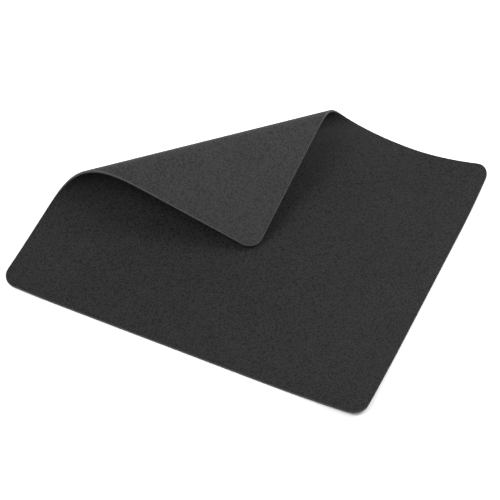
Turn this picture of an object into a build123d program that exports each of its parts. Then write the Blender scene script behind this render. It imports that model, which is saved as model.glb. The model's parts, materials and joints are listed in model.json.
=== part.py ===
"""Seedling heat mat: a thin flexible heater, sealed between two rubber covers, with one corner folded over.

Units are millimetres. The origin is the centre of the mat's footprint, on the surface that it lies on.
+X runs along the long sides, +Y along the short sides towards the folded side, and +Z points up.

The fold is a cone. Every line along which the mat bends runs through one point, the fold's apex, which
lies outside the mat. So the bend is tight at the end near the apex and wide at the far end. The mat is
divided along such lines into a flat part, narrow strips and a flap, and each turns about the next one's
edge. With every hinge turned back by its own angle, the pieces lie in one plane again.
"""

import os
from math import cos, pi, radians, sin, sqrt

from build123d import *

# The mat, laid flat
LENGTH = 280.0
WIDTH = 250.0
THICKNESS = 2.0
CORNER_RADIUS = 11.0

# Layers, as heights above the underside
POCKET_FLOOR = 0.5
FOAM_TOP = 1.1
FILM = 0.1
POCKET_ROOF = 1.4
COVER_JOIN = 1.0
SEALED_EDGE = 8.0
POCKET_RADIUS = 5.0
LAYER_CLEARANCE = 0.2

# Heater
BUSBAR_Y = 109.0
BUSBAR_WIDTH = 8.0
BUSBAR_LENGTH = 240.0
STRIPE_COUNT = 15
STRIPE_PITCH = 16.0
STRIPE_WIDTH = 11.0

# Contact rivets, one under each busbar
CONTACT_X = 112.0
CONTACT_HEAD_RADIUS = 3.5
CONTACT_HEAD_HEIGHT = 0.3
CONTACT_INSET = 0.05
CONTACT_SHANK_RADIUS = 1.2
CONTACT_CLEARANCE = 0.1

# Fold: plan directions are in degrees, from the apex, on the flat mat
FOLD_APEX = Vector(378.0, 512.0, 0.0)
CREASE_DIRECTION = 225.9
TIGHT_TURN = 154.5
TIGHT_SPREAD = 3.5
GENTLE_TURN = 52.0
GENTLE_SPREAD = 7.5
GENTLE_LEAD = 2.1
HINGE_COUNT = 7
HINGE_GAP = 0.3
FAN_STEP = 0.01

CELLS = ["mat"] + [f"bend_{k}" for k in range(1, HINGE_COUNT)] + ["corner"]
CUTTER_SIZE = 8 * LENGTH
UPRIGHT = (Align.CENTER, Align.CENTER, Align.MIN)


def bend_rate(offset, turn, spread):
    """Degrees of turn per degree of plan angle, in a bend that rises and falls smoothly over 2 spreads."""
    if abs(offset) >= spread:
        return 0.0
    return turn * (1 + cos(pi * offset / spread)) / (2 * spread)


def rate_at(offset):
    """Rate of bending at a plan angle past the crease line, towards the corner: a tight and a gentle bend."""
    tight = bend_rate(offset, TIGHT_TURN, TIGHT_SPREAD)
    return tight + bend_rate(offset + GENTLE_LEAD, GENTLE_TURN, GENTLE_SPREAD)


def hinge_lines():
    """(plan direction, turn) of every hinge line, from the flat part to the corner.

    Each hinge gathers the bending of one bin of the fan, at its mean place. The bins have equal sums of
    the rate's square root, so that every strip stands off the smooth curve by about the same height.
    """
    steps = round(2 * GENTLE_SPREAD / FAN_STEP)
    offsets = [FAN_STEP * (i + 0.5) - GENTLE_LEAD - GENTLE_SPREAD for i in range(steps)]
    total = sum(sqrt(rate_at(offset)) for offset in offsets)
    bins = [[] for _ in range(HINGE_COUNT)]
    passed = 0.0
    for offset in offsets:
        bins[min(int(HINGE_COUNT * passed / total), HINGE_COUNT - 1)].append(offset)
        passed += sqrt(rate_at(offset))
    lines = []
    for members in bins:
        turn = sum(rate_at(offset) for offset in members) * FAN_STEP
        place = sum(offset * rate_at(offset) for offset in members) * FAN_STEP / turn
        lines.append((CREASE_DIRECTION - place, turn))
    return lines


HINGES = hinge_lines()


def along(direction):
    """Unit vector from the apex in a plan direction."""
    return Vector(cos(radians(direction)), sin(radians(direction)), 0)


def across(direction):
    """Unit vector square to a plan direction, pointing towards the folded corner."""
    return Vector(sin(radians(direction)), -cos(radians(direction)), 0)


def beyond_mitre(direction, turn, side):
    """Everything past one hinge's mitre face: side 1 is what lies nearer the corner, -1 what lies further."""
    half = radians(turn / 2)
    outward = across(direction) * (side * cos(half)) + Vector(0, 0, sin(half))
    face = Plane(origin=FOLD_APEX - outward * (HINGE_GAP / 2), x_dir=along(direction), z_dir=outward)
    return face * Box(CUTTER_SIZE, CUTTER_SIZE, CUTTER_SIZE, align=UPRIGHT)


CUTTERS = [(beyond_mitre(*hinge, 1), beyond_mitre(*hinge, -1)) for hinge in HINGES]


def cell_of(layer, k):
    """The solids of a flat layer that belong to cell k, still lying flat."""
    if k < HINGE_COUNT:
        layer = layer - CUTTERS[k][0]
    if k > 0:
        layer = layer - CUTTERS[k - 1][1]
    return layer.solids()


def folded(solid, k):
    """A flat solid of cell k, turned about each hinge between it and the flat part."""
    for direction, turn in reversed(HINGES[:k]):
        solid = solid.rotate(Axis(FOLD_APEX, along(direction)), -turn)
    return solid


def rounded_slab(length, width, radius, bottom, top):
    """A slab with rounded corners between two heights."""
    outline = RectangleRounded(length, width, radius)
    return Pos(0, 0, bottom) * extrude(outline, top - bottom)


def pocket(bottom, top, clearance=0.0):
    """The heater's space inside the sealed edge, or what lies in it with a clearance round it."""
    inset = 2 * (SEALED_EDGE + clearance)
    return rounded_slab(LENGTH - inset, WIDTH - inset, POCKET_RADIUS - clearance, bottom, top)


def contact_places():
    """Plan places of the rivets, near side first."""
    return [(CONTACT_X, -BUSBAR_Y), (CONTACT_X, BUSBAR_Y)]


def contact_holes(radius, bottom, top):
    """Round holes for both contact rivets."""
    height = top - bottom
    return [
        Pos(x, y, bottom) * Cylinder(radius, height, align=UPRIGHT)
        for x, y in contact_places()
    ]


def bottom_cover():
    """Underside, with a raised edge that the top cover is welded to and recesses for the rivet heads."""
    cover = rounded_slab(LENGTH, WIDTH, CORNER_RADIUS, 0, COVER_JOIN)
    cover = cover - pocket(POCKET_FLOOR, COVER_JOIN)
    head_top = CONTACT_INSET + CONTACT_HEAD_HEIGHT
    cover = cover - contact_holes(CONTACT_HEAD_RADIUS + CONTACT_CLEARANCE, 0, head_top)
    return cover - contact_holes(CONTACT_SHANK_RADIUS + CONTACT_CLEARANCE, 0, POCKET_FLOOR)


def top_cover():
    """Upper face, with the other half of the welded edge."""
    cover = rounded_slab(LENGTH, WIDTH, CORNER_RADIUS, COVER_JOIN, THICKNESS)
    return cover - pocket(COVER_JOIN, POCKET_ROOF)


def foam_core():
    """Insulating foam between the underside and the heater."""
    core = pocket(POCKET_FLOOR, FOAM_TOP, LAYER_CLEARANCE)
    return core - contact_holes(CONTACT_SHANK_RADIUS + CONTACT_CLEARANCE, POCKET_FLOOR, FOAM_TOP)


def lower_film():
    """Film that carries the printed heater."""
    top = FOAM_TOP + FILM
    film = pocket(FOAM_TOP, top, LAYER_CLEARANCE)
    return film - contact_holes(CONTACT_SHANK_RADIUS + CONTACT_CLEARANCE, FOAM_TOP, top)


def upper_film():
    """Film laminated over the heater."""
    return pocket(POCKET_ROOF - FILM, POCKET_ROOF, LAYER_CLEARANCE)


def busbar(side):
    """Copper strip that feeds one end of every stripe."""
    place = Pos(0, side * BUSBAR_Y, FOAM_TOP + FILM)
    return place * Box(BUSBAR_LENGTH, BUSBAR_WIDTH, FILM, align=UPRIGHT)


def heating_stripes():
    """Carbon stripes from busbar to busbar."""
    stripe = Box(STRIPE_WIDTH, 2 * BUSBAR_Y - BUSBAR_WIDTH, FILM, align=UPRIGHT)
    first = -STRIPE_PITCH * (STRIPE_COUNT - 1) / 2
    places = [Pos(first + i * STRIPE_PITCH, 0, FOAM_TOP + FILM) for i in range(STRIPE_COUNT)]
    return Part(children=[place * stripe for place in places])


def contact(place):
    """Brass rivet: a flush head underneath, and a shank up to the busbar."""
    x, y = place
    head = Cylinder(CONTACT_HEAD_RADIUS, CONTACT_HEAD_HEIGHT, align=UPRIGHT)
    shank = Cylinder(CONTACT_SHANK_RADIUS, FOAM_TOP + FILM - CONTACT_INSET, align=UPRIGHT)
    return Pos(x, y, CONTACT_INSET) * (head + shank)


def write(name, solids):
    """Writes one sub-part."""
    shape = solids[0] if len(solids) == 1 else Compound(children=list(solids))
    export_step(shape, f"parts/{name}.step")


def main():
    os.makedirs("parts", exist_ok=True)
    layers = {
        "bottom_cover": bottom_cover(),
        "foam_core": foam_core(),
        "lower_film": lower_film(),
        "heating_stripes": heating_stripes(),
        "near_busbar": busbar(-1),
        "far_busbar": busbar(1),
        "upper_film": upper_film(),
        "top_cover": top_cover(),
    }
    for name, layer in layers.items():
        for k, cell in enumerate(CELLS):
            solids = [folded(solid, k) for solid in cell_of(layer, k)]
            if solids:
                write(name if k == 0 else f"{name}_{cell}", solids)
    for side, place in zip(("near", "far"), contact_places()):
        write(f"{side}_contact", contact(place).solids())


main()
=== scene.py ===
"""Looks of the seedling heat mat: two rubber covers with a film heater between, and one corner folded over.

Every layer is drawn flat, cut along the lines that the mat bends along, and then laid onto the folded
shape. The layers are divided into sections. The end sections ride with the part's first and last bodies;
those in the fold stay where they are laid.
"""

import json
from math import cos, pi, radians, sin

import bmesh
import bpy
import numpy as np
from mathutils import Euler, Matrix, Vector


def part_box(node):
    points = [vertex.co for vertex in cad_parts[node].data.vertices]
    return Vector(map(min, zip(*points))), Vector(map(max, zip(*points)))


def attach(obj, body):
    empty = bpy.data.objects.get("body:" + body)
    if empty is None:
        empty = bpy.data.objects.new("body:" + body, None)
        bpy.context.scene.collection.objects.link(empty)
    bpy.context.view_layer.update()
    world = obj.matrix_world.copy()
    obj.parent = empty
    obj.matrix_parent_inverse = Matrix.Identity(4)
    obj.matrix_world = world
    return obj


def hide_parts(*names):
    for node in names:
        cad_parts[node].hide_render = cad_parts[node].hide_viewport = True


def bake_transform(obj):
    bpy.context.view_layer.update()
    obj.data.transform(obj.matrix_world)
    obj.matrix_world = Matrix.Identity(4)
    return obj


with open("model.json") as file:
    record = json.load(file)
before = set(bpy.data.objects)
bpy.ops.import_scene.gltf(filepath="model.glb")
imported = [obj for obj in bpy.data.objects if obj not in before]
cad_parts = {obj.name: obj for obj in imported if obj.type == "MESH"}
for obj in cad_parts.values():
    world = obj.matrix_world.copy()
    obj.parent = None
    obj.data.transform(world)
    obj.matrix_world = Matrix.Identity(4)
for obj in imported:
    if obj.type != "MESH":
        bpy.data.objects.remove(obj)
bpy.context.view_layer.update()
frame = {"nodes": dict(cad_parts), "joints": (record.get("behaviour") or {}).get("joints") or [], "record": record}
BODIES = list(frame["record"]["behaviour"]["bodies"])

MM = 0.001

# The mat's sizes, from the part
LENGTH = 2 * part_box("top_cover")[1].x
WIDTH = 2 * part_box("top_cover")[1].y
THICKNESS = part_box("top_cover")[1].z
COVER_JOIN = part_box("top_cover")[0].z
CORNER_RADIUS = 11 * MM
POCKET_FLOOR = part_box("foam_core")[0].z
POCKET_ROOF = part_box("upper_film")[1].z
POCKET_INSET = LENGTH / 2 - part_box("foam_core")[1].x
POCKET_RADIUS = 4.8 * MM
STRIPE_COUNT = 15
STRIPE_PITCH = 16 * MM
STRIPE_WIDTH = 11 * MM

# The covers' cut edge
TOP_ROUND = 0.3 * MM
UNDER_ROUND = 0.55 * MM
RIM_STEPS = 4
SEAM_GROOVE = 0.08 * MM

# The fold: plan directions in degrees, from the apex, on the flat mat
CREASE_DIRECTION = 225.9
TIGHT_TURN = 154.5
TIGHT_SPREAD = 3.5
GENTLE_TURN = 52.0
GENTLE_SPREAD = 7.5
GENTLE_LEAD = 2.1
FAN_START = -26.0
FAN_END = 14.0
FAN_STEP = 0.02

# Two corners curl up a little: height at the corner, and how far in the curl reaches
NEAR_CURL = (3.9 * MM, 75 * MM)
FAR_CURL = (10.6 * MM, 65 * MM)

# Fineness of the mesh: degrees of turn and of plan angle that one facet may cover, grids, and corners
TURN_PER_FACET = 4.0
WIDEST_FACET = 0.6
COVER_GRID = 5 * MM
LAYER_GRID = 6 * MM
CORNER_STEPS = 12
SLOPE_STEP = 0.05 * MM
CUT_SNAP = 1e-7
TINY = 1e-9

# Rubber: grain sizes, grey levels, and the span of the grain noise that holds most of its values
TOP_GRAIN = 1.05 * MM
UNDER_GRAIN = 1.3 * MM
UNEVEN_SIZE = 40 * MM
TOP_TONE = 0.0127
UNDER_TONE = 0.0176
# The cut edge's tones: paler cut rubber, brightened further as a painted highlight along the rim
TOP_CUT_EDGE_AND_HIGHLIGHT_TONE = 0.034
UNDER_CUT_EDGE_AND_HIGHLIGHT_TONE = 0.060
GRAIN_RANGE = (0.38, 0.62)
GRAIN_CONTRAST = 0.5
CUT_EDGE_AND_HIGHLIGHT_CONTRAST = 0.2
UNEVEN_LEVELS = (0.96, 1.04)

# How far the pale cut edge and its painted rim highlight reach in, as a multiple of the rim's rounding, and the
# pebbles' share of the grain, with fine noise for the rest
CUT_EDGE_AND_HIGHLIGHT_REACH = 1.3
PEBBLE_SHARE = 0.45

# Other materials: the span of a noise that colours and roughnesses follow, feature sizes, and colours
NOISE_SPAN = (0.3, 0.7)
FOAM_CELL = 0.5 * MM
FOAM_SPAN = (0.0, 0.6)
FILM_HAZE = 8 * MM
FILM_COLOURS = ((0.55, 0.57, 0.55), (0.64, 0.66, 0.63))
CARBON_SPECK = 0.25 * MM
TARNISH_SIZE = 6 * MM
TARNISH_SPAN = (0.35, 0.65)
COPPER_COLOURS = ((0.60, 0.27, 0.15), (0.78, 0.40, 0.24))
COPPER_SCRATCH = 0.8 * MM
BRASS_COLOURS = ((0.55, 0.40, 0.18), (0.74, 0.58, 0.30))
BRASS_SCRATCH = 0.6 * MM

# The contacts, and the holes for them: a head's width in the lower cover, a shank's in what lies above it
CONTACTS = ("near_contact", "far_contact")
HOLE_RADIUS = {"bottom_cover": 3.6 * MM, "foam_core": 1.3 * MM, "lower_film": 1.3 * MM}
HOLE_SIDES = 24
HOLE_REACH = 16 * MM
OUTLINE_TOLERANCE = 0.05 * MM

# A contact's head: its face as (share of its radius, height), its depth, and the shank's share of it
HEAD_FACE = ((0.5, 0.0), (0.9, 0.02 * MM), (1.0, 0.12 * MM))
HEAD_HEIGHT = 0.3 * MM
SHANK_SHARE = 0.34
CONTACT_SIDES = 32
RIVET_SHARP = 35

# Camera
CAMERA_PLACE = (0.3495, -0.7427, 0.9129)
CAMERA_TILT = 48.78
CAMERA_HEADING = 25.31
CAMERA_LENS = 120.1
CAMERA_SENSOR = 36

# Light and floor: each light's place and size in metres, and its power in watts
LIGHTS = {
    "front_left_box": ((-0.9, -0.9, 1.3), 1.0, 33),
    "right_box": ((0.45, 0.35, 0.5), 0.4, 5.0),
}
WORLD_STRENGTH = 0.66
FLOOR_HALF = 4.0
FLOOR_LEVEL = -0.1 * MM
FLOOR_TINT = (0.88, 0.90)
FLOOR_TINT_SIZE = 0.4


# ---------------------------------------------------------------- the fold

def find_apex():
    """The point that every hinge line runs through."""
    total = np.zeros((3, 3))
    moment = np.zeros(3)
    for joint in frame["joints"]:
        axis = np.array(joint["axis"])
        square = np.eye(3) - np.outer(axis, axis)
        total += square
        moment += square @ np.array(joint["pos_m"])
    return np.linalg.solve(total, moment)


def bend_rate(offset, turn, spread):
    """Degrees of turn per degree of plan angle, in a bend that rises and falls smoothly over 2 spreads."""
    if abs(offset) >= spread:
        return 0.0
    return turn * (1 + cos(pi * offset / spread)) / (2 * spread)


def rate_at(offset):
    """Rate of bending at a plan angle past the crease line: a tight bend and a gentle one."""
    tight = bend_rate(offset, TIGHT_TURN, TIGHT_SPREAD)
    return tight + bend_rate(offset + GENTLE_LEAD, GENTLE_TURN, GENTLE_SPREAD)


def turned(vector, axis):
    """A vector turned about an axis whose length is the angle."""
    angle = np.linalg.norm(axis)
    unit = axis / angle
    along = unit * (unit @ vector) * (1 - cos(angle))
    return vector * cos(angle) + np.cross(unit, vector) * sin(angle) + along


def follow_fan():
    """Where each line from the apex points once the mat is folded."""
    offsets = np.arange(FAN_START, FAN_END, FAN_STEP)
    start = radians(CREASE_DIRECTION - FAN_START)
    line = np.array([cos(start), sin(start), 0.0])
    upper = np.array([0.0, 0.0, 1.0])
    lines = []
    for offset in offsets:
        lines.append(line)
        axis = -(upper + line * rate_at(offset + FAN_STEP / 2)) * radians(FAN_STEP)
        line, upper = turned(line, axis), turned(upper, axis)
    return offsets, np.array(lines)


def find_borders():
    """Plan angles between sections: where the mat has turned as far as the hinges passed turn in all."""
    turn = np.cumsum([rate_at(offset) * FAN_STEP for offset in FAN_OFFSETS])
    passed = np.cumsum([joint["range_deg"][1] for joint in frame["joints"]])
    inner = np.interp(turn[-1] * passed[:-1] / passed[-1], turn, FAN_OFFSETS)
    return [-GENTLE_LEAD - GENTLE_SPREAD, *inner, GENTLE_SPREAD - GENTLE_LEAD]


APEX = find_apex()
FAN_OFFSETS, FAN_LINES = follow_fan()
BORDERS = find_borders()


def offset_of(x, y):
    """Plan angle of flat points past the crease line."""
    direction = np.degrees(np.arctan2(y - APEX[1], x - APEX[0])) % 360
    return CREASE_DIRECTION - direction


def corner_curl(x, y, side, curl):
    """How far the corner at the far (1) or near (-1) end of the right side lifts flat points."""
    height, reach = curl
    away = np.hypot(LENGTH / 2 - x, side * WIDTH / 2 - y)
    return height * np.clip(1 - away / reach, 0, 1) ** 2


def underside(x, y):
    """Where flat points of the mat's underside are on the folded mat."""
    reach = np.hypot(x - APEX[0], y - APEX[1])
    offset = offset_of(x, y)
    line = np.stack([np.interp(offset, FAN_OFFSETS, FAN_LINES[:, i]) for i in range(3)], 1)
    line /= np.linalg.norm(line, axis=1)[:, None]
    places = APEX + reach[:, None] * line
    places[:, 2] += corner_curl(x, y, 1, FAR_CURL) + corner_curl(x, y, -1, NEAR_CURL)
    return places


def slopes(x, y):
    """Unit vectors along the folded mat's own x and y, and square to it, at flat points."""
    along_x = underside(x + SLOPE_STEP, y) - underside(x - SLOPE_STEP, y)
    along_y = underside(x, y + SLOPE_STEP) - underside(x, y - SLOPE_STEP)
    up = np.cross(along_x, along_y)
    return [v / np.linalg.norm(v, axis=1)[:, None] for v in (along_x, along_y, up)]


# ---------------------------------------------------------------- flat shapes

def rounded_outline(length, width, radius):
    """Closed outline of a rectangle with rounded corners."""
    points = []
    for quarter, (side_x, side_y) in enumerate([(1, 1), (-1, 1), (-1, -1), (1, -1)]):
        centre_x = side_x * (length / 2 - radius)
        centre_y = side_y * (width / 2 - radius)
        for step in range(CORNER_STEPS + 1):
            angle = pi / 2 * (quarter + step / CORNER_STEPS)
            points.append((centre_x + radius * cos(angle), centre_y + radius * sin(angle)))
    return points


def box_outline(low_x, high_x, low_y, high_y):
    return [(low_x, low_y), (high_x, low_y), (high_x, high_y), (low_x, high_y)]


def facet_offsets():
    """Plan angles at which the mesh is cut: the section borders, and closer where the mat bends more."""
    turn = np.cumsum([rate_at(offset) * FAN_STEP for offset in FAN_OFFSETS])
    across = np.clip(FAN_OFFSETS, BORDERS[0], BORDERS[-1]) - BORDERS[0]
    facets = turn / TURN_PER_FACET + across / WIDEST_FACET
    wanted = np.arange(0.5, facets[-1])
    return sorted([*np.interp(wanted, facets, FAN_OFFSETS), *BORDERS])


def cut_flat(outlines, grid):
    """A flat mesh of closed outlines, cut by a square grid and along the lines that the mat bends along."""
    mesh = bmesh.new()
    for outline in outlines:
        mesh.faces.new([mesh.verts.new((x, y, 0)) for x, y in outline])
    cuts = []
    for size, normal in ((LENGTH, (1, 0, 0)), (WIDTH, (0, 1, 0))):
        count = round(size / grid)
        for i in range(1, count):
            place = size * (i / count - 0.5)
            cuts.append((tuple(place * c for c in normal), normal))
    for offset in facet_offsets():
        direction = radians(CREASE_DIRECTION - offset)
        cuts.append((tuple(APEX), (sin(direction), -cos(direction), 0)))
    for point, normal in cuts:
        everything = [*mesh.verts, *mesh.edges, *mesh.faces]
        bmesh.ops.bisect_plane(mesh, geom=everything, plane_co=point, plane_no=normal, dist=CUT_SNAP)
    return mesh


def faces_near(mesh, centre, reach):
    """Faces of a flat mesh whose middle is within reach of a point."""
    return [face for face in mesh.faces if (face.calc_center_median().to_2d() - centre).length < reach]


def cut_holes(mesh, radius):
    """Round holes through a flat mesh where the contacts pass."""
    for contact in CONTACTS:
        low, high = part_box(contact)
        centre = ((low + high) / 2).to_2d()
        for step in range(HOLE_SIDES):
            angle = 2 * pi * step / HOLE_SIDES
            normal = (cos(angle), sin(angle), 0)
            point = (centre.x + radius * normal[0], centre.y + radius * normal[1], 0)
            near = faces_near(mesh, centre, HOLE_REACH)
            parts = {part for face in near for part in (face, *face.edges, *face.verts)}
            around = sorted(parts, key=lambda part: (type(part).__name__, part.index))
            bmesh.ops.bisect_plane(mesh, geom=around, plane_co=point, plane_no=normal, dist=CUT_SNAP)
            for elements in (mesh.verts, mesh.edges, mesh.faces):
                elements.index_update()
        bmesh.ops.delete(mesh, geom=faces_near(mesh, centre, radius), context="FACES")


def sections_of(mesh):
    """Faces of a flat mesh, by section."""
    sections = [[] for _ in range(len(BORDERS) + 1)]
    centres = np.array([face.calc_center_median() for face in mesh.faces])
    for face, offset in zip(mesh.faces, offset_of(centres[:, 0], centres[:, 1])):
        sections[int(np.searchsorted(BORDERS, offset))].append(face)
    return sections


def outward_at(x, y):
    """Plan direction straight out of the mat's rounded outline, at a point on it."""
    core_x = LENGTH / 2 - CORNER_RADIUS
    core_y = WIDTH / 2 - CORNER_RADIUS
    out = np.array([x - np.clip(x, -core_x, core_x), y - np.clip(y, -core_y, core_y)])
    return out / max(np.linalg.norm(out), TINY)


# ---------------------------------------------------------------- solid layers

# A layer's profile gives the heights of its upper and lower face at a flat point ("inside"), the width
# of its rounded rim ("rim", 0 if its edges are square), and the points round that rim from the upper
# face to the lower ("edge"): inset from the mat's side, height, and how far the surface leans outward.

def plain_profile(bottom, top):
    """Profile of a layer with square edges."""
    return {"inside": lambda x, y: (top, bottom), "rim": 0}


def pocket_share(x, y):
    """0 over the heater, rising to 1 at the mat's edge."""
    from_edge = min(LENGTH / 2 - abs(x), WIDTH / 2 - abs(y))
    return 1 - min(max(from_edge / POCKET_INSET, 0), 1)


def rounded_rim(radius, face, into):
    """Points round a rim from a face to the mat's side; into is 1 if the cover lies above the face."""
    rim = []
    for step in range(RIM_STEPS + 1):
        angle = pi / 2 * step / RIM_STEPS
        inset = radius * (1 - sin(angle))
        height = face + into * radius * (1 - cos(angle))
        rim.append((inset, height, sin(angle) / (sin(angle) + cos(angle))))
    return rim


def top_cover_profile():
    """Upper cover: a rounded upper rim, and a lower face that meets the other cover round the heater."""
    join = [(0, COVER_JOIN + SEAM_GROOVE, 1), (SEAM_GROOVE, COVER_JOIN, 1)]

    def inside(x, y):
        return THICKNESS, POCKET_ROOF + (COVER_JOIN - POCKET_ROOF) * pocket_share(x, y)

    return {"inside": inside, "rim": TOP_ROUND, "edge": rounded_rim(TOP_ROUND, THICKNESS, -1) + join}


def bottom_cover_profile():
    """Lower cover: a wider rounded rim below, and an upper face that meets the other cover."""
    join = [(SEAM_GROOVE, COVER_JOIN, 1), (0, COVER_JOIN - SEAM_GROOVE, 1)]

    def inside(x, y):
        return POCKET_FLOOR + (COVER_JOIN - POCKET_FLOOR) * pocket_share(x, y), 0.0

    return {"inside": inside, "rim": UNDER_ROUND, "edge": join + rounded_rim(UNDER_ROUND, 0, 1)[::-1]}


def columns_of(verts, profile, on_outline):
    """For each flat vertex, its points from the upper face down: (x, y, height, outward, lean)."""
    columns = {}
    for vert in verts:
        x, y = vert.co.x, vert.co.y
        if vert in on_outline and profile["rim"]:
            out = outward_at(x, y)
            columns[vert] = []
            for inset, height, lean in profile["edge"]:
                beyond = profile["rim"] - inset
                columns[vert].append((x + beyond * out[0], y + beyond * out[1], height, out, lean))
        else:
            columns[vert] = [(x, y, height, (0, 0), 0) for height in profile["inside"](x, y)]
    return columns


def is_outline(vert, rim):
    """Whether a flat vertex is on a layer's outer edge; a cover's is where its rounded rim starts."""
    if not any(len(edge.link_faces) == 1 for edge in vert.link_edges):
        return False
    core_x = LENGTH / 2 - CORNER_RADIUS
    core_y = WIDTH / 2 - CORNER_RADIUS
    beyond = np.hypot(max(abs(vert.co.x) - core_x, 0), max(abs(vert.co.y) - core_y, 0))
    return rim == 0 or beyond > CORNER_RADIUS - rim - OUTLINE_TOLERANCE


def add_object(name, data):
    """A new object in the scene."""
    thing = bpy.data.objects.new(name, data)
    bpy.context.scene.collection.objects.link(thing)
    return thing


def solid_section(name, faces, profile):
    """A closed solid over some faces of a flat mesh, laid onto the folded mat."""
    chosen = set(faces)
    verts = list({vert: None for face in faces for vert in face.verts})
    edges = {edge for face in faces for edge in face.edges}
    rim = {edge for edge in edges if sum(face in chosen for face in edge.link_faces) == 1}
    on_outline = {vert for vert in verts if is_outline(vert, profile["rim"])}
    outline = {edge for edge in rim if len(edge.link_faces) == 1 and on_outline.issuperset(edge.verts)}
    columns = columns_of(verts, profile, on_outline)

    points = []
    number = {}
    for vert, column in columns.items():
        number[vert] = list(range(len(points), len(points) + len(column)))
        points += column
    polygons = []
    kinds = []
    for face in faces:
        polygons.append([number[vert][0] for vert in face.verts])
        polygons.append([number[vert][-1] for vert in reversed(face.verts)])
        kinds += ["upper", "lower"]
    for face in faces:
        for loop in face.loops:
            if loop.edge not in rim:
                continue
            a = number[loop.vert]
            b = number[loop.link_loop_next.vert]
            if loop.edge in outline:
                for i in range(len(a) - 1):
                    polygons.append([a[i], a[i + 1], b[i + 1], b[i]])
                    kinds.append("side")
            else:
                polygons.append([*a, *reversed(b)])
                kinds.append("wall")
    return solid_object(name, points, polygons, kinds, sharp=not profile["rim"])


def solid_object(name, points, polygons, kinds, sharp):
    """A mesh object from points over the flat mat, with the folded surface's normals and a flat UV map."""
    x, y, height = (np.array([point[i] for point in points]) for i in range(3))
    outward = np.array([point[3] for point in points], float)
    lean = np.array([point[4] for point in points], float)[:, None]
    along_x, along_y, up = slopes(x, y)
    places = underside(x, y) + height[:, None] * up
    out = along_x * outward[:, :1] + along_y * outward[:, 1:]

    mesh = bpy.data.meshes.new(name)
    mesh.from_pydata(places.tolist(), [], polygons)
    mesh.polygons.foreach_set("use_smooth", [True] * len(polygons))
    flat = mesh.uv_layers.new(name="flat")
    normals = []
    for polygon, kind in zip(mesh.polygons, kinds):
        for loop in polygon.loop_indices:
            vertex = mesh.loops[loop].vertex_index
            down_side = min(height[vertex], THICKNESS - height[vertex]) if kind == "side" else 0
            flat.data[loop].uv = np.array([x[vertex], y[vertex]]) + down_side * outward[vertex]
            if kind == "wall" or (kind == "side" and sharp):
                normals.append(tuple(polygon.normal))
                continue
            facing = -up[vertex] if is_lower(kind, height[vertex]) else up[vertex]
            normal = facing * (1 - lean[vertex]) + out[vertex] * lean[vertex]
            normals.append(tuple(normal / np.linalg.norm(normal)))
    mesh.normals_split_custom_set(normals)
    mesh.validate()
    return add_object(name, mesh)


def is_lower(kind, height):
    """Whether a face corner looks down: on a lower face, or on the lower half of a rounded edge."""
    return kind == "lower" or (kind == "side" and height < THICKNESS / 2)


# ---------------------------------------------------------------- riding on the part

def border_points(section):
    """Two places on the borders of a section, as far from the apex as the section's nearest part."""
    directions = [radians(CREASE_DIRECTION - BORDERS[i]) for i in (section - 1, section)]
    reach = min((WIDTH / 2 - APEX[1]) / sin(direction) for direction in directions)
    x = APEX[0] + reach * np.cos(directions)
    y = APEX[1] + reach * np.sin(directions)
    return underside(x, y)


def put_on_part(piece, section, layer):
    """Rides a section at either end with the part's first or last body, leaves the sections between where they
    lie, and hides the nodes that it stands for.
    """
    last = len(BORDERS)
    if section == 0:
        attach(piece, BODIES[0])
    elif section == last:
        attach(piece, BODIES[-1])
    else:
        start, end = border_points(section)
        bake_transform(piece)
    body = BODIES[min(section, last - 1)]
    node = layer if body == BODIES[0] else f"{layer}_{body}"
    if node in frame["nodes"]:
        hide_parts(node)
    elif section == 1 and layer in frame["nodes"]:
        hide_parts(layer)


def area_of(faces):
    return sum(face.calc_area() for face in faces)


def declare_sheet(faces):
    """Works out the flat area of a section of a cover, and leaves the result unused."""
    area_of(faces)


def make_layer(layer, outlines, profile, material, slot, grid):
    """Every section of one layer."""
    mesh = cut_flat(outlines, grid)
    if layer in HOLE_RADIUS:
        cut_holes(mesh, HOLE_RADIUS[layer])
    for section, faces in enumerate(sections_of(mesh)):
        if not faces:
            continue
        piece = solid_section(f"{layer}_section_{section}", faces, profile)
        piece.data.materials.append(material)
        put_on_part(piece, section, layer)
        if slot in ("top_cover", "bottom_cover"):
            declare_sheet(faces)
    mesh.free()


# ---------------------------------------------------------------- materials

def new_material(name):
    """A material, with its node tree and its shader."""
    material = bpy.data.materials.new(name)
    material.use_nodes = True
    tree = material.node_tree
    return material, tree, tree.nodes["Principled BSDF"]


def link(tree, source, target):
    tree.links.new(source, target)


def flat_place(tree):
    """The point's place on the flat mat, in metres."""
    node = tree.nodes.new("ShaderNodeUVMap")
    node.uv_map = "flat"
    return node.outputs["UV"]


def noise(tree, place, size, detail=2.0, roughness=0.5, distortion=0.0):
    """Noise whose features are about size metres across."""
    node = tree.nodes.new("ShaderNodeTexNoise")
    link(tree, place, node.inputs["Vector"])
    node.inputs["Scale"].default_value = 1 / size
    node.inputs["Detail"].default_value = detail
    node.inputs["Roughness"].default_value = roughness
    node.inputs["Distortion"].default_value = distortion
    return node.outputs["Fac"]


def cells(tree, place, size):
    """Distance from the middle of the nearest of many random cells, which are about size metres across."""
    node = tree.nodes.new("ShaderNodeTexVoronoi")
    link(tree, place, node.inputs["Vector"])
    node.inputs["Scale"].default_value = 1 / size
    return node.outputs["Distance"]


def ramp(tree, factor, low, high, span=NOISE_SPAN):
    """A grey or a colour that goes from low to high while a factor crosses a span."""
    node = tree.nodes.new("ShaderNodeValToRGB")
    link(tree, factor, node.inputs["Fac"])
    for element, position, tone in zip(node.color_ramp.elements, span, (low, high)):
        element.position = position
        colour = (tone, tone, tone) if isinstance(tone, float) else tone
        element.color = (*colour, 1.0)
    return node.outputs["Color"]


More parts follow.
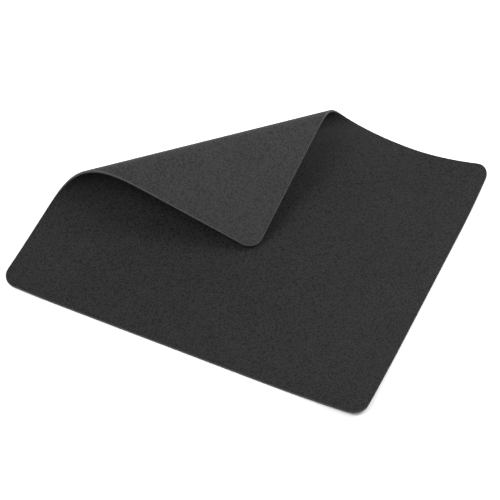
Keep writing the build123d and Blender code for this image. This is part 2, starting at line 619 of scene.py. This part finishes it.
def mix(tree, factor, first, second):
    """Mixes two colours by a factor; all three are sockets."""
    node = tree.nodes.new("ShaderNodeMix")
    node.data_type = "RGBA"
    link(tree, factor, node.inputs["Factor"])
    link(tree, first, node.inputs["A"])
    link(tree, second, node.inputs["B"])
    return node.outputs["Result"]


def calculate(tree, operation, first, second=0):
    """A sum over two values, each a number or a socket."""
    node = tree.nodes.new("ShaderNodeMath")
    node.operation = operation
    for socket, value in zip(node.inputs, (first, second)):
        if isinstance(value, (int, float)):
            socket.default_value = value
        else:
            link(tree, value, socket)
    return node.outputs["Value"]


def add_bump(tree, shader, height, strength, distance):
    """Relief of a surface, distance metres deep."""
    node = tree.nodes.new("ShaderNodeBump")
    link(tree, height, node.inputs["Height"])
    node.inputs["Strength"].default_value = strength
    node.inputs["Distance"].default_value = distance
    link(tree, node.outputs["Normal"], shader.inputs["Normal"])


def edge_share(tree, place, reach):
    """1 on the mat's cut edge, falling to 0 at a reach from it: where the paler cut rubber and its painted rim
    highlight go.
    """
    split = tree.nodes.new("ShaderNodeSeparateXYZ")
    link(tree, place, split.inputs["Vector"])
    squares = []
    for axis, half in (("X", LENGTH / 2), ("Y", WIDTH / 2)):
        from_middle = calculate(tree, "ABSOLUTE", split.outputs[axis])
        beyond = calculate(tree, "SUBTRACT", from_middle, half - CORNER_RADIUS)
        beyond = calculate(tree, "MAXIMUM", beyond, 0)
        squares.append(calculate(tree, "MULTIPLY", beyond, beyond))
    from_core = calculate(tree, "SQRT", calculate(tree, "ADD", *squares))
    inside = calculate(tree, "SUBTRACT", CORNER_RADIUS, from_core)
    share = calculate(tree, "SUBTRACT", 1, calculate(tree, "DIVIDE", inside, reach))
    return calculate(tree, "MAXIMUM", share, 0)


def pebbled(tree, place, size):
    """Grain of a moulded rubber: small uneven pebbles, high in the middle, with fine noise over them."""
    pebbles = calculate(tree, "SUBTRACT", 1, cells(tree, place, size))
    fine = noise(tree, place, size / 2, detail=4.0, roughness=0.7)
    pebbles = calculate(tree, "MULTIPLY", pebbles, PEBBLE_SHARE)
    fine = calculate(tree, "MULTIPLY", fine, 1 - PEBBLE_SHARE)
    return calculate(tree, "ADD", pebbles, fine)


def rubber_tone(tree, place, grain, tone, cut_edge_and_highlight_tone, cut_edge_and_highlight_reach):
    """Colour of a grained rubber: dark and light grains, a little uneven, and paler where it is cut, which also
    paints a highlight along the rim.
    """
    shades = []
    for level in UNEVEN_LEVELS:
        dark = tone * level * (1 - GRAIN_CONTRAST)
        light = tone * level * (1 + GRAIN_CONTRAST)
        shades.append(ramp(tree, grain, dark, light, GRAIN_RANGE))
    uneven = ramp(tree, noise(tree, place, UNEVEN_SIZE, detail=3.0), 0.0, 1.0, GRAIN_RANGE)
    skin = mix(tree, uneven, *shades)
    # Paler cut rubber at the rim, brightened as a painted highlight
    dark = cut_edge_and_highlight_tone * (1 - CUT_EDGE_AND_HIGHLIGHT_CONTRAST)
    light = cut_edge_and_highlight_tone * (1 + CUT_EDGE_AND_HIGHLIGHT_CONTRAST)
    cut_edge_and_highlight = ramp(tree, grain, dark, light, GRAIN_RANGE)
    return mix(tree, edge_share(tree, place, cut_edge_and_highlight_reach), skin, cut_edge_and_highlight)


def top_rubber():
    """Fine-grained matt black rubber."""
    material, tree, shader = new_material("top_rubber")
    place = flat_place(tree)
    grain = pebbled(tree, place, TOP_GRAIN)
    tone = rubber_tone(tree, place, grain, TOP_TONE, TOP_CUT_EDGE_AND_HIGHLIGHT_TONE, CUT_EDGE_AND_HIGHLIGHT_REACH * TOP_ROUND)
    link(tree, tone, shader.inputs["Base Color"])
    link(tree, ramp(tree, grain, 0.58, 0.72), shader.inputs["Roughness"])
    shader.inputs["Specular IOR Level"].default_value = 0.13
    add_bump(tree, shader, grain, strength=0.7, distance=0.2 * MM)
    return material


def under_rubber():
    """Coarser, slightly lighter non-slip rubber with a suede-like nap."""
    material, tree, shader = new_material("under_rubber")
    place = flat_place(tree)
    nap = pebbled(tree, place, UNDER_GRAIN)
    tone = rubber_tone(tree, place, nap, UNDER_TONE, UNDER_CUT_EDGE_AND_HIGHLIGHT_TONE, CUT_EDGE_AND_HIGHLIGHT_REACH * UNDER_ROUND)
    link(tree, tone, shader.inputs["Base Color"])
    link(tree, ramp(tree, nap, 0.76, 0.90), shader.inputs["Roughness"])
    shader.inputs["Specular IOR Level"].default_value = 0.25
    shader.inputs["Sheen Weight"].default_value = 0.04
    shader.inputs["Sheen Roughness"].default_value = 0.5
    add_bump(tree, shader, nap, strength=0.8, distance=0.3 * MM)
    return material


def foam():
    """Grey closed-cell foam."""
    material, tree, shader = new_material("foam")
    bubbles = cells(tree, flat_place(tree), FOAM_CELL)
    link(tree, ramp(tree, bubbles, 0.11, 0.19, FOAM_SPAN), shader.inputs["Base Color"])
    add_bump(tree, shader, bubbles, strength=0.7, distance=0.1 * MM)
    shader.inputs["Roughness"].default_value = 0.9
    return material


def film():
    """Thin milky polyester film."""
    material, tree, shader = new_material("film")
    haze = noise(tree, flat_place(tree), FILM_HAZE, detail=3.0)
    link(tree, ramp(tree, haze, *FILM_COLOURS), shader.inputs["Base Color"])
    link(tree, ramp(tree, haze, 0.18, 0.32), shader.inputs["Roughness"])
    return material


def carbon():
    """Printed carbon ink."""
    material, tree, shader = new_material("carbon")
    speck = noise(tree, flat_place(tree), CARBON_SPECK, detail=4.0, roughness=0.7)
    link(tree, ramp(tree, speck, 0.012, 0.026), shader.inputs["Base Color"])
    link(tree, ramp(tree, speck, 0.45, 0.62), shader.inputs["Roughness"])
    add_bump(tree, shader, speck, strength=0.3, distance=0.02 * MM)
    return material


def metal(name, colours, scratch_size):
    """Bare metal with fine scratches and a light tarnish."""
    material, tree, shader = new_material(name)
    place = flat_place(tree)
    scratch = noise(tree, place, scratch_size, detail=4.0, roughness=0.7, distortion=1.0)
    tarnish = noise(tree, place, TARNISH_SIZE)
    link(tree, ramp(tree, tarnish, *colours, TARNISH_SPAN), shader.inputs["Base Color"])
    link(tree, ramp(tree, scratch, 0.24, 0.40), shader.inputs["Roughness"])
    shader.inputs["Metallic"].default_value = 1.0
    add_bump(tree, shader, scratch, strength=0.2, distance=0.01 * MM)
    return material


# ---------------------------------------------------------------- the pieces

def make_covers():
    for layer, profile, material in (
        ("top_cover", top_cover_profile(), top_rubber()),
        ("bottom_cover", bottom_cover_profile(), under_rubber()),
    ):
        rim = profile["rim"]
        outline = rounded_outline(LENGTH - 2 * rim, WIDTH - 2 * rim, CORNER_RADIUS - rim)
        make_layer(layer, [outline], profile, material, layer, COVER_GRID)


def stripe_outlines():
    """Outlines of the heating stripes, from the right end to the left."""
    low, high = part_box("heating_stripes")
    outlines = []
    for i in range(STRIPE_COUNT):
        right = high.x - i * STRIPE_PITCH
        outlines.append(box_outline(right - STRIPE_WIDTH, right, low.y, high.y))
    return outlines


def busbar_outline(side):
    """Outline of the copper strip along the far (1) or near (-1) edge."""
    low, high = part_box("far_busbar")
    low_y, high_y = sorted((side * low.y, side * high.y))
    return [box_outline(-high.x, high.x, low_y, high_y)]


def make_heater():
    inset = 2 * POCKET_INSET
    pocket = [rounded_outline(LENGTH - inset, WIDTH - inset, POCKET_RADIUS)]
    clear = film()
    copper = metal("copper", COPPER_COLOURS, COPPER_SCRATCH)
    for layer, outlines, material, slot in (
        ("foam_core", pocket, foam(), "foam"),
        ("lower_film", pocket, clear, "film"),
        ("heating_stripes", stripe_outlines(), carbon(), "carbon"),
        ("near_busbar", busbar_outline(-1), copper, "copper"),
        ("far_busbar", busbar_outline(1), copper, "copper"),
        ("upper_film", pocket, clear, "film"),
    ):
        low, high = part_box(layer)
        make_layer(layer, outlines, plain_profile(low.z, high.z), material, slot, LAYER_GRID)


def make_contact(name, material):
    """A flush rivet: a slightly domed head with a rounded rim, and a shank up to the busbar."""
    low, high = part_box(name)
    x = (low.x + high.x) / 2
    y = (low.y + high.y) / 2
    head = (high.x - low.x) / 2
    shank = SHANK_SHARE * head
    rings = [(share * head, low.z + height) for share, height in HEAD_FACE]
    rings += [(head, low.z + HEAD_HEIGHT), (shank, low.z + HEAD_HEIGHT), (shank, high.z)]
    points = [(x, y, low.z)]
    for radius, height in rings:
        for step in range(CONTACT_SIDES):
            angle = 2 * pi * step / CONTACT_SIDES
            points.append((x + radius * cos(angle), y + radius * sin(angle), height))
    points.append((x, y, high.z))
    top = 1 + (len(rings) - 1) * CONTACT_SIDES
    polygons = []
    for step in range(CONTACT_SIDES):
        after = (step + 1) % CONTACT_SIDES
        polygons.append([0, 1 + after, 1 + step])
        for lower in range(1, top, CONTACT_SIDES):
            upper = lower + CONTACT_SIDES
            polygons.append([lower + step, lower + after, upper + after, upper + step])
        polygons.append([top + step, top + after, len(points) - 1])
    piece = rivet_object(name + "_rivet", points, polygons)
    piece.data.materials.append(material)
    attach(piece, BODIES[0])
    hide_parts(name)


def rivet_object(name, points, polygons):
    """A mesh object from points over the flat mat, laid onto the folded mat."""
    x, y, height = (np.array([point[i] for point in points]) for i in range(3))
    places = underside(x, y) + height[:, None] * slopes(x, y)[2]
    mesh = bpy.data.meshes.new(name)
    mesh.from_pydata(places.tolist(), [], polygons)
    mesh.polygons.foreach_set("use_smooth", [True] * len(polygons))
    mesh.set_sharp_from_angle(angle=radians(RIVET_SHARP))
    flat = mesh.uv_layers.new(name="flat")
    for loop in mesh.loops:
        flat.data[loop.index].uv = (x[loop.vertex_index], y[loop.vertex_index])
    return add_object(name, mesh)


# ---------------------------------------------------------------- the stage

def make_floor():
    mesh = bpy.data.meshes.new("floor")
    outline = box_outline(-FLOOR_HALF, FLOOR_HALF, -FLOOR_HALF, FLOOR_HALF)
    corners = [(x, y, FLOOR_LEVEL) for x, y in outline]
    mesh.from_pydata(corners, [], [(0, 1, 2, 3)])
    floor = add_object("floor", mesh)
    material, tree, shader = new_material("floor")
    coordinates = tree.nodes.new("ShaderNodeTexCoord")
    tint = noise(tree, coordinates.outputs["Object"], FLOOR_TINT_SIZE)
    link(tree, ramp(tree, tint, *FLOOR_TINT), shader.inputs["Base Color"])
    shader.inputs["Roughness"].default_value = 0.9
    shader.inputs["Specular IOR Level"].default_value = 0.1
    floor.data.materials.append(material)


def make_light(name, place, size, power):
    """A square soft light, in watts, that faces the mat."""
    data = bpy.data.lights.new(name, "AREA")
    data.energy = power
    data.size = size
    light = add_object(name, data)
    light.location = place
    light.visible_camera = False
    light.rotation_euler = (-light.location).to_track_quat("-Z", "Y").to_euler()


def make_camera():
    data = bpy.data.cameras.new("camera")
    data.lens = CAMERA_LENS
    data.sensor_width = CAMERA_SENSOR
    camera = add_object("camera", data)
    camera.location = CAMERA_PLACE
    camera.rotation_euler = Euler((radians(90 - CAMERA_TILT), 0, radians(CAMERA_HEADING)))
    bpy.context.scene.camera = camera


def make_world():
    world = bpy.data.worlds.new("studio")
    world.use_nodes = True
    background = world.node_tree.nodes["Background"]
    background.inputs["Color"].default_value = (1, 1, 1, 1)
    background.inputs["Strength"].default_value = WORLD_STRENGTH
    bpy.context.scene.world = world
    bpy.context.scene.view_settings.view_transform = "Standard"


make_camera()
make_world()
make_floor()
for light_name, (place, size, power) in LIGHTS.items():
    make_light(light_name, place, size, power)
make_covers()
make_heater()
brass = metal("brass", BRASS_COLOURS, BRASS_SCRATCH)
for contact in CONTACTS:
    make_contact(contact, brass)
